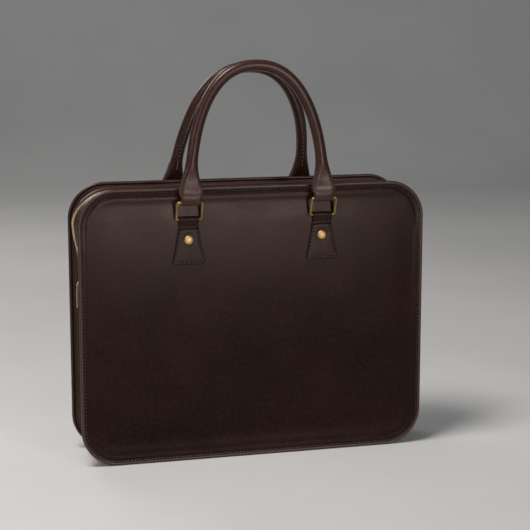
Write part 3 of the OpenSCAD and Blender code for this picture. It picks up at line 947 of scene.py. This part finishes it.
cloth_ripple = waves(41, 8, 0.02, 0.08)
LINING_STEPS = (0.0, 0.6, 3, 8, 15, 25)
LINING_SCALES = (0.85, 0.7, 0.55, 0.4, 0.25, 0.1)
LINING_SLACK = 0.3
CLOTH_T = 0.9
HEM = 0.35


def lining(side):
    """Twill glued over the board, slightly slack between its edges."""
    out = SIDES[side]
    inset0 = HALF_W - LINING_HI.x
    stops = rim_stops(0, RIM_LENGTH, 6.0, 2.2)[:-1]
    rings = []
    for step in LINING_STEPS:
        inset = inset0 + step
        rings.append([(rim_point(s, inset, 0), ease(inset, inset0, inset0 + 20)) for s in stops])
    deepest = [p for p, _ in rings[-1]]
    for scale in LINING_SCALES:
        rings.append([(MIDDLE + (p - MIDDLE) * scale, 1.0) for p in deepest])
    verts, faces = [], []
    size = len(stops)
    for face_y, slack in ((LINING_LO.y, LINING_SLACK), (FLANGE_Y, 0.0)):
        for ring in rings:
            for p, loose in ring:
                y = face_y - slack * loose * (0.5 + 0.5 * cloth_ripple(p.x, p.z))
                verts.append((p.x, out * y, p.z))
        verts.append((MIDDLE.x, out * (face_y - slack * 0.5), MIDDLE.z))
    layer = len(rings) * size + 1
    for base in (0, layer):
        tip = base + layer - 1
        faces += bands(base, size, len(rings) - 1) + fan(tip - size, size, tip)
    faces += join(0, layer, size)
    obj = sharpen(make(f"{side}_lining_cloth", verts, faces, M["lining_cloth"]), 50)
    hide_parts(f"{side}_lining")
    return piece(obj, f"case_{side}")


def pocket():
    """A slip pocket of the lining twill: sewn down at its sides and foot, a turned hem at its mouth."""
    lo, hi = POCKET_LO, POCKET_HI
    across, up = 48, 34
    verts = []
    for layer in (0, 1):
        for j in range(up + 1):
            z = lo.z + (hi.z - lo.z) * j / up
            for i in range(across + 1):
                x = lo.x + (hi.x - lo.x) * i / across
                edge = min(x - lo.x, hi.x - x, z - lo.z)
                free = ease(edge, 1, 12)
                hem = HEM * ease(z, hi.z - 16, hi.z - 14.5)
                wave = 0.35 * cloth_ripple(x * 0.8, z * 0.5) * free
                y = hi.y - 0.2 - (hi.y - lo.y - CLOTH_T - 0.7) * free - hem - wave
                verts.append((x, y - CLOTH_T * (1 - layer), z))
    row = across + 1
    layer = row * (up + 1)
    corners = [base + j * row + i for base in (0, layer) for j in range(up) for i in range(across)]
    faces = [(a, a + 1, a + 1 + row, a + row) for a in corners]
    rim = list(range(row)) + [j * row + across for j in range(1, up + 1)]
    rim += [up * row + i for i in range(across - 1, -1, -1)] + [j * row for j in range(up - 1, 0, -1)]
    faces += [(a, b, b + layer, a + layer) for a, b in zip(rim, rim[1:] + rim[:1])]
    obj = sharpen(make("slip_pocket_cloth", verts, faces, M["lining_cloth"]), 50)
    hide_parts("inner_pocket")
    piece(obj, "case_back")
    rows = []
    for x in (lo.x + 2, hi.x - 2):
        rows += [(Vector((x, hi.y - 1.1, lo.z + 4 + 3.6 * k)), Z_AXIS, -Y_AXIS)
                 for k in range(int((hi.z - lo.z - 8) / 3.6))]
    stitch_row("slip_pocket_stitches", rows, 2.6, 0.25, 0.1, "case_back")


# --- Chapes, rings and rivets -----------------------------------------------

CHAPE_LO, CHAPE_HI = box_mm("front_right_chape")
CHAPE_X = (CHAPE_LO.x + CHAPE_HI.x) / 2
CHAPE_FOOT_Z = CHAPE_LO.z
FOOT_HALF = (CHAPE_HI.x - CHAPE_LO.x) / 2
NECK_HALF = 10.8
BAR = Vector((0, abs(joint_mm("front_ring_tilt").y), joint_mm("front_ring_tilt").z))
WIRE_R = 1.5
RING_CORNER = 2.2
LOOP_T = 1.1
NECK_Z = BAR.z - 8.6
FOOT_R = 4.0
CHAPE_FACE = FACE_Y + 2.15
PINCH = 1.3
RIVET_LO, RIVET_HI = box_mm("front_rivets")
RIVET_Z = (RIVET_LO.z + RIVET_HI.z) / 2
RIVET_R = (RIVET_HI.z - RIVET_LO.z) / 2
RIVET_POST_R = 1.5
RIVET_STEPS = 40
RIVET_DENT = -0.3
LOOP_FROM, LOOP_TURN, LOOP_STEPS = 200, -230, 18
LOOP_END = math.radians(30)
EDGE_STITCH_INSET = 2.25
EDGE_PAINT_AND_SHADOW_BAND = 0.9


def chape_path():
    """Rows from behind the bar, over it and down the face: (y, z, normal y, normal z)."""
    r = WIRE_R + 0.05 + LOOP_T
    rows = []
    for i in range(LOOP_STEPS + 1):
        a = math.radians(LOOP_FROM + LOOP_TURN * i / LOOP_STEPS)
        rows.append((BAR.y + r * math.cos(a), BAR.z + r * math.sin(a), math.cos(a), math.sin(a)))
    front = BAR.y + r * math.cos(LOOP_END)
    drop, foot = BAR.z - r * math.sin(LOOP_END), NECK_Z + 0.2
    for i in range(1, 11):
        t = i / 10
        y = front + (CHAPE_FACE - PINCH - front) * ease(t, -0.3, 1)
        n = Vector((1, 0.55 - 0.45 * abs(2 * t - 1))).normalized()
        rows.append((y, drop + (foot - drop) * t, n.x, -n.y))
    return rows


def chape_face(z):
    """How far out the face stands: pinched in under the loop, where the neck is sewn."""
    return CHAPE_FACE - PINCH * (1 - ease(NECK_Z - 0.5 - z, -0.5, 2.6))


def chape_half(z):
    """Half width at a height on the face."""
    if z >= NECK_Z:
        return NECK_HALF
    t = (NECK_Z - z) / (NECK_Z - CHAPE_FOOT_Z)
    half = NECK_HALF + (FOOT_HALF - NECK_HALF) * t - 0.5 * math.sin(math.pi * t)
    below = FOOT_R - (z - CHAPE_FOOT_Z)
    if below > 0:
        half -= FOOT_R - math.sqrt(max(0.0, FOOT_R ** 2 - below ** 2))
    return half


EDGE_STEPS = [0.0, 0.12, 0.4, 0.8, 1.3, 1.8, 2.1, 2.4, 2.7, 3.2, 4.2]
MIDDLE_STEPS = 14


def chape_rise(edge):
    """Height of the face near a cut edge: rounded shoulder and a creased stitch line."""
    shoulder = -0.6 * max(0.0, 1 - edge / 1.0) ** 2
    return shoulder - 0.14 * bump_at(edge, EDGE_STITCH_INSET, 0.6) + 0.14 * ease(edge, 3, 9)


def chape_section(half, y, z, ny, nz, thick, foot_edge):
    inside = half - EDGE_STEPS[-1]
    across = [-half + e for e in EDGE_STEPS]
    across += [inside * (2 * i / MIDDLE_STEPS - 1) for i in range(1, MIDDLE_STEPS)]
    across += [half - e for e in reversed(EDGE_STEPS)]
    ring = []
    for x in across:
        edge = min(half - abs(x), foot_edge)
        rise = chape_rise(edge) + RIVET_DENT * bump_at(math.hypot(x, z - RIVET_Z), RIVET_R + 1.1, 0.9)
        ring.append((x, y + ny * rise, z + nz * rise))
    for x in (half, -half):
        ring.append((x, y - ny * thick, z - nz * thick))
    return ring


def edge_paint_and_shadow(obj, at_edge):
    """Gives the faces along a cut edge, and those in a band onto the face, the dark waxed edge material: edge
    paint, and on the face also a painted shadow line.
    """
    obj.data.materials.append(M["edge"])
    for face in obj.data.polygons:
        if at_edge(face.center / MM):
            face.material_index = 1


def chape(side, end):
    out = SIDES[side]
    centre_x = ENDS[end] * CHAPE_X
    rings = []
    for y, z, ny, nz in chape_path():
        rings.append(chape_section(NECK_HALF, y, z, ny, nz, LOOP_T, 99))
    start, foot = NECK_Z - 0.5, CHAPE_FOOT_Z
    zs = [start - 0.6 * i for i in range(5)]
    zs += [start - 3 + (foot + 6.5 - start + 3) * i / 32 for i in range(33)]
    zs += [foot + e for e in (5.6, 4.8, 4.0, 3.3, 2.7, 2.25, 1.8, 1.3, 0.85, 0.5, 0.25, 0.08, 0.0)]
    for z in zs:
        proud = chape_face(z)
        rings.append(chape_section(chape_half(z), proud, z, 1, 0, proud - FACE_Y + 0.8, z - foot))
    placed = [[Vector((centre_x + x, out * y, z)) for x, y, z in ring] for ring in rings]
    obj = sharpen(loft(f"{side}_{end}_chape_leather", placed, M["trim_leather"]), 55)
    # A band 0.9 mm onto the face is painted dark with the edge: partly edge paint, partly a painted shadow line
    # along the chape's edge.
    edge_paint_and_shadow(obj, lambda c: min(chape_half(c.z) - abs(c.x - centre_x), c.z - foot) < EDGE_PAINT_AND_SHADOW_BAND)
    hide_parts(f"{side}_{end}_chape")
    piece(obj, f"case_{side}")
    places = []
    for sign in (-1, 1):
        low = Vector((sign * (chape_half(foot + 5) - EDGE_STITCH_INSET), 0, foot + 3.6))
        high = Vector((sign * (chape_half(NECK_Z - 1) - EDGE_STITCH_INSET), 0, NECK_Z - 2.6))
        places += [(sign * (chape_half(z) - EDGE_STITCH_INSET), z, (high - low).normalized())
                   for z in spread(low.z, high.z, 9)]
    span, neck = FOOT_HALF - 4.6, NECK_HALF - 1.6
    places += [(x, foot + EDGE_STITCH_INSET, X_AXIS) for x in spread(-span, span, 7)]
    places += [(x, NECK_Z - 0.9, X_AXIS) for x in spread(-neck, neck, 5)]
    rows = [(Vector((centre_x + x, out * (chape_face(z) - 0.15), z)), along, out * Y_AXIS)
            for x, z, along in places]
    stitch_row(f"{side}_{end}_chape_stitches", rows, 2.9, 0.34, 0.14, f"case_{side}")
    hole_row(f"{side}_{end}_chape_holes", [(p + a * 1.95, a, n) for p, a, n in rows], 0.72,
             f"case_{side}", proud=0.2)


def ring(side, end):
    """A bent wire ring along the CAD ring's own lean."""
    out = SIDES[side]
    lo, hi = box_mm(f"{side}_{end}_ring")
    centre_x = (lo.x + hi.x) / 2
    bar = joint_mm(f"{side}_ring_tilt")
    upper = joint_mm(f"{side}_handle_swing")
    up = upper - bar
    rise = up.length
    up.normalize()
    face = Vector((0, up.z, -up.y)) * out
    half = (hi.x - lo.x) / 2 - WIRE_R
    rings = []
    for px, py, nx, ny in rounded(half, 0, rise, RING_CORNER):
        centre = Vector((centre_x + px, 0, 0)) + bar + up * py
        normal = Vector((nx, 0, 0)) + up * ny
        rings.append([centre + normal * (WIRE_R * math.cos(b)) + face * (WIRE_R * math.sin(b))
                      for b in turns(16)])
    obj = loft(f"{side}_{end}_wire_ring", rings, M["ring_brass"], closed_path=True)
    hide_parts(f"{side}_{end}_ring")
    return piece(obj, f"{side}_rings")


def rivet_heads(side):
    """Turned dome heads with a thin flat flange, on posts that run in to the washers."""
    out = SIDES[side]
    lo, hi = box_mm(f"{side}_rivets")
    crown, tail = max(abs(lo.y), abs(hi.y)), min(abs(lo.y), abs(hi.y))
    seat = CHAPE_FACE
    radius = (hi.z - lo.z) / 2
    middle = (lo + hi) / 2
    profile = [(RIVET_POST_R - 0.3, tail), (RIVET_POST_R, tail + 0.3), (RIVET_POST_R, seat - 0.35),
               (radius, seat - 0.3), (radius, seat + 0.25), (radius - 0.15, seat + 0.42)]
    for i in range(1, 10):
        a = math.radians(90 * i / 10)
        profile.append(((radius - 0.2) * math.cos(a), seat + 0.42 + (crown - seat - 0.42) * math.sin(a)))
    verts, faces = [], []
    for x in (lo.x + radius, hi.x - radius):
        first = len(verts)
        verts += [(x + r * math.cos(a), out * y, middle.z + r * math.sin(a))
                  for r, y in profile for a in turns(RIVET_STEPS)]
        tip = len(verts)
        verts.append((x, out * crown, middle.z))
        faces += bands(first, RIVET_STEPS, len(profile) - 1) + fan(tip - RIVET_STEPS, RIVET_STEPS, tip)
        faces.append(cap(first, RIVET_STEPS))
    obj = sharpen(make(f"{side}_rivet_heads", verts, faces, M["rivet_brass"]), 40)
    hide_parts(f"{side}_rivets")
    return piece(obj, f"case_{side}")


# --- Handles ----------------------------------------------------------------

ARCH_POWER = 2.3
RISES = {"front": 141.0, "back": 144.5}
DRIFTS = {"front": 0.0, "back": 3.6}
GRIP_R = 6.1
CORE_R = 4.0
ARCH_HALF = CHAPE_X - 0.9
SHOULDER_HALF = 13.0
END_HALF_T = 3.3
LEANS = {"front": 3.5, "back": 18.0}
SECTION = 36
handle_swell = waves(51, 5, 0.03, 0.09)


def squared(v, p):
    return math.copysign(abs(v) ** (2 / p), v)


FOLD_HEIGHTS = [-3.28, -3.1, -2.7, -2.1, -1.4, -0.7, 0.2, 1.2, 2.4, 3.8, 5.2, 6.4, 7.2, 7.7, 8.0, 8.15, 8.3,
                8.6, 9.2, 10.2, 11.4, 12.8]
ARCH_STEPS = 130


def arch_point(side, a):
    """A point on the centre line; the back handle has settled a little to one side."""
    v = RISES[side] * squared(math.sin(a), ARCH_POWER)
    return ARCH_HALF * squared(math.cos(a), ARCH_POWER) + DRIFTS[side] * ease(v, 6, 95), v


def arch_stations(side):
    """(u, v, outward u, outward v) along the centre line, from one fold to the other."""
    start = math.asin((14.0 / RISES[side]) ** (ARCH_POWER / 2))
    curve = []
    for i in range(ARCH_STEPS + 1):
        t = i / ARCH_STEPS
        a = start + (math.pi - 2 * start) * (t + 0.055 * math.sin(math.tau * 2 * t) / 2)
        (u0, v0), (u1, v1) = arch_point(side, a - 0.004), arch_point(side, a + 0.004)
        n = Vector((v1 - v0, u0 - u1)).normalized()
        curve.append((*arch_point(side, a), n.x, n.y))
    feet = []
    for sign, top in ((1, curve[0]), (-1, curve[-1])):
        feet.append([])
        for v in FOLD_HEIGHTS:
            t = max(0.0, v / top[1])
            u = sign * ARCH_HALF + (top[0] - sign * ARCH_HALF) * t ** 2
            n = Vector((sign, top[3] * t ** 2)).normalized()
            feet[-1].append((u, v, n.x, n.y))
    return feet[0] + curve + feet[1][::-1]


def handle_frame(side):
    out = SIDES[side]
    bar = joint_mm(f"{side}_handle_swing")
    lean = math.radians(LEANS[side])
    up = Vector((0, -out * math.sin(lean), math.cos(lean)))
    face = Vector((0, out * math.cos(lean), math.sin(lean)))
    return bar, up, face


def handle_half_w(v):
    taper = min(1.0, max(0.0, (v - 11.5) / 36))
    waist = (GRIP_R - SHOULDER_HALF) * (1 - (1 - taper) ** 1.7)
    return NECK_HALF + (SHOULDER_HALF - NECK_HALF) * ease(v, 3, 9.5) + waist


LIP_V = 8.15
LIP_T = 0.75
LIP_STITCH_V = 6.2
TAB_ROW_HALF = 9.2
TAB_COLUMN, TAB_COLUMN_V = 6, 12.5


def handle_half_t(v):
    """Half thickness: round over the ring, plumper above it, then the step where the turned end stops."""
    if v < 0:
        return math.sqrt(max(0.02, END_HALF_T ** 2 - v ** 2))
    turned = (0.5 * bump_at(v, 2.8, 2.4) + LIP_T * ease(v, 2, 6)) * (1 - ease(v, LIP_V - 0.2, LIP_V + 0.25))
    return END_HALF_T + (GRIP_R - END_HALF_T) * ease(v, 9, 42) + turned * ease(v, 0, 1.5)


MOUTH_V = 27.0
CORE_V = 34.0
TAB_PRESS = 0.8


def handle_set_back(v):
    """The thickening of the flat ends goes mostly to the inner side."""
    return 1.1 * ease(v, 9, 26) * (1 - ease(v, 30, 62))


def handle(side):
    """The rolled cover. Its two edges meet in a seam on the inner side and part above each flat end."""
    bar, up, face = handle_frame(side)
    rings, core = [], []
    along = 0.0
    stations = arch_stations(side)
    for i, (u, v, nu, nv) in enumerate(stations):
        if i:
            along += math.hypot(u - stations[i - 1][0], v - stations[i - 1][1])
        w, t = handle_half_w(v), handle_half_t(v)
        power = 6 - 4 * ease(v, 8, 38)
        swell = 1 + 0.012 * handle_swell(along)
        flat = 1 - ease(v, 24, 44)
        mouth = ease(v, 9, 12) * (1 - ease(v, 16, MOUTH_V))
        set_back = handle_set_back(v)
        ring = []
        for a in turns(SECTION):
            x = w * squared(math.cos(a), power) * swell
            y = t * squared(math.sin(a), power) * swell - set_back
            side_slit = 0.45 * flat * (abs(math.cos(a)) > 0.97) * ease(v, 1, 6)
            x -= math.copysign(side_slit, x)
            if v > LIP_V:
                y -= math.copysign(0.25 * bump_at(w - abs(x), 2.3, 0.6) * flat, y)
            if math.sin(a) > 0.5:
                y -= TAB_PRESS * ease(v, 9, 13) * (1 - ease(v, 22, 38)) * bump_at(x, 0, 0.55 * w)
            if math.sin(a) < -0.5:
                closed = 1 - flat
                y += 0.55 * closed * bump_at(x, 0, 0.5) - 0.28 * closed * bump_at(abs(x), 1.5, 0.9)
                y += mouth * (1.9 * bump_at(x, 0, 3.4) - 0.5 * bump_at(abs(x), 5.4, 1.6))
            ring.append(bar + Vector((u + nu * x, 0, 0)) + up * (v + nv * x) + face * y)
        rings.append(ring)
        if v > CORE_V:
            core.append([bar + Vector((u + nu * CORE_R * math.cos(a), 0, 0))
                         + up * (v + nv * CORE_R * math.cos(a)) + face * (CORE_R * math.sin(a))
                         for a in turns(16)])
    obj = sharpen(loft(f"{side}_rolled_handle", rings, M["handle_leather"]), 60)
    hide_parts(f"{side}_handle_cover", f"{side}_handle_ends")
    piece(obj, f"{side}_handle")
    cord = sharpen(loft(f"{side}_handle_cord", core, M["cord_core"]), 60)
    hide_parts(f"{side}_handle_core")
    piece(cord, f"{side}_handle")
    handle_stitches(side, bar, up, face)


def handle_stitches(side, bar, up, face):
    """A seam along the inner side of the grip, and a row across and up each flat end."""
    stations = [row for row in arch_stations(side) if row[1] > MOUTH_V]
    rows = []
    for (u, v, nu, nv), (u1, v1, _, _) in zip(stations, stations[1:]):
        middle = Vector(((u + u1) / 2, (v + v1) / 2))
        way = Vector((u1 - u, v1 - v))
        if way.length > 9:
            continue
        for t in ((-0.25, 0.25) if way.length > 4.6 else (0.0,)):
            p = middle + way * t
            tangent = (Vector((way.x, 0, 0)) + up * way.y).normalized()
            depth = handle_half_t(v) + handle_set_back(v) - 0.05
            place = bar + Vector((p.x, 0, 0)) + up * p.y - face * depth
            rows.append((place, tangent, -face))
    stitch_row(f"{side}_handle_seam_stitches", rows, 2.3, 0.42, 0.25, f"{side}_handle", "pale_thread")
    rows = []
    for sign in (-1, 1):
        for outward in (-1, 1):
            for x in spread(-TAB_ROW_HALF, TAB_ROW_HALF, 6):
                place = bar + Vector((sign * ARCH_HALF + x, 0, 0)) + up * LIP_STITCH_V
                rows.append((place + face * (outward * (handle_half_t(LIP_STITCH_V) - 0.08)),
                             X_AXIS, face * outward))
            for edge in (-1, 1):
                for i in range(TAB_COLUMN):
                    h = TAB_COLUMN_V + 3.9 * i
                    x = edge * (handle_half_w(h) - 2.4)
                    place = bar + Vector((sign * ARCH_HALF + x, 0, 0)) + up * h
                    slope = (handle_half_w(h + 1) - handle_half_w(h - 1)) / 2 * edge
                    rows.append((place + face * (outward * (handle_half_t(h) - 0.12) - handle_set_back(h)),
                                 (up + Vector((slope, 0, 0))).normalized(), face * outward))
    stitch_row(f"{side}_handle_end_stitches", rows, 2.6, 0.32, 0.16, f"{side}_handle")


# --- Stage ------------------------------------------------------------------

CAMERA_PLACE = Vector((-401.0, -1542.6, 476.7))
CAMERA_YAW, CAMERA_PITCH = 15.28, 9.71
CAMERA_LENS = 100.5
SOFT_WHITE = (1.0, 0.98, 0.97)


def camera():
    data = bpy.data.cameras.new("camera")
    data.lens = CAMERA_LENS
    data.sensor_width = 36
    data.clip_end = 50
    obj = bpy.data.objects.new("camera", data)
    obj.location = CAMERA_PLACE * MM
    obj.rotation_euler = (math.radians(90 - CAMERA_PITCH), 0, math.radians(-CAMERA_YAW))
    bpy.context.scene.collection.objects.link(obj)
    bpy.context.scene.camera = obj


def area_light(name, place, aim_z, size, power, colour):
    """A rectangle that shines on the case's middle at a height; place, height and size in metres."""
    data = bpy.data.lights.new(name, "AREA")
    data.shape = "RECTANGLE"
    data.size, data.size_y = size
    data.energy = power
    data.color = colour
    obj = bpy.data.objects.new(name, data)
    obj.location = place
    obj.rotation_euler = (Vector((0, 0, aim_z)) - Vector(place)).to_track_quat("-Z", "Y").to_euler()
    bpy.context.scene.collection.objects.link(obj)


def stage():
    m = Nodes("pale_floor")
    m.set(Base_Color=m.ramp(m.noise(3, 5), [(0.3, (0.60, 0.595, 0.585)), (0.8, (0.66, 0.655, 0.645))]))
    m.set(Roughness=0.65, Specular_IOR_Level=0.25)
    half, depth, rise, bend = 6.0, 2.2, 5.0, 1.2
    rows = [(-half, 0.0), (depth, 0.0)]
    rows += [(depth + bend * math.sin(a), bend * (1 - math.cos(a)))
             for a in (math.radians(9 * i) for i in range(1, 11))]
    rows.append((depth + bend, rise))
    verts = [(x, y, z) for y, z in rows for x in (-half, half)]
    faces = [(2 * i, 2 * i + 1, 2 * i + 3, 2 * i + 2) for i in range(len(rows) - 1)]
    mesh = bpy.data.meshes.new("floor")
    mesh.from_pydata(verts, [], faces)
    finish_mesh("floor", mesh, m.material)
    world = bpy.data.worlds.new("studio")
    bpy.context.scene.world = world
    world.use_nodes = True
    sky = world.node_tree.nodes["Background"]
    sky.inputs["Color"].default_value = (0.86, 0.90, 0.95, 1)
    sky.inputs["Strength"].default_value = 0.17
    area_light("key", (-0.6, -0.4, 1.7), 0.25, (0.6, 0.6), 24, (1.0, 0.97, 0.94))
    area_light("fill", (-1.9, -1.2, 1.0), 0.3, (0.6, 0.6), 6, SOFT_WHITE)
    area_light("front", (0.7, -2.2, 0.85), 0.3, (0.5, 0.3), 9, SOFT_WHITE)
    area_light("sheen", (0.4, -2.5, 0.06), 0.25, (1.1, 0.08), 9.5, (1.0, 0.98, 0.96))
    area_light("back", (-0.7, 1.8, 1.3), 0.25, (1.0, 0.8), 9, SOFT_WHITE)
    bpy.context.scene.view_settings.view_transform = "Standard"


# --- Assembly ---------------------------------------------------------------

dress_cad_nodes()
camera()
stage()
for case_side in SIDES:
    panel(case_side)
    panel_stitches(case_side)
    binding(case_side)
    upper_strip(case_side)
    lower_flange(case_side)
    tape(case_side)
    teeth(case_side)
    lining(case_side)
    rivet_heads(case_side)
    handle(case_side)
    for case_end in ENDS:
        chape(case_side, case_end)
        ring(case_side, case_end)
lower_gussets()
zip_fittings()
zip_end_tabs()
pocket()
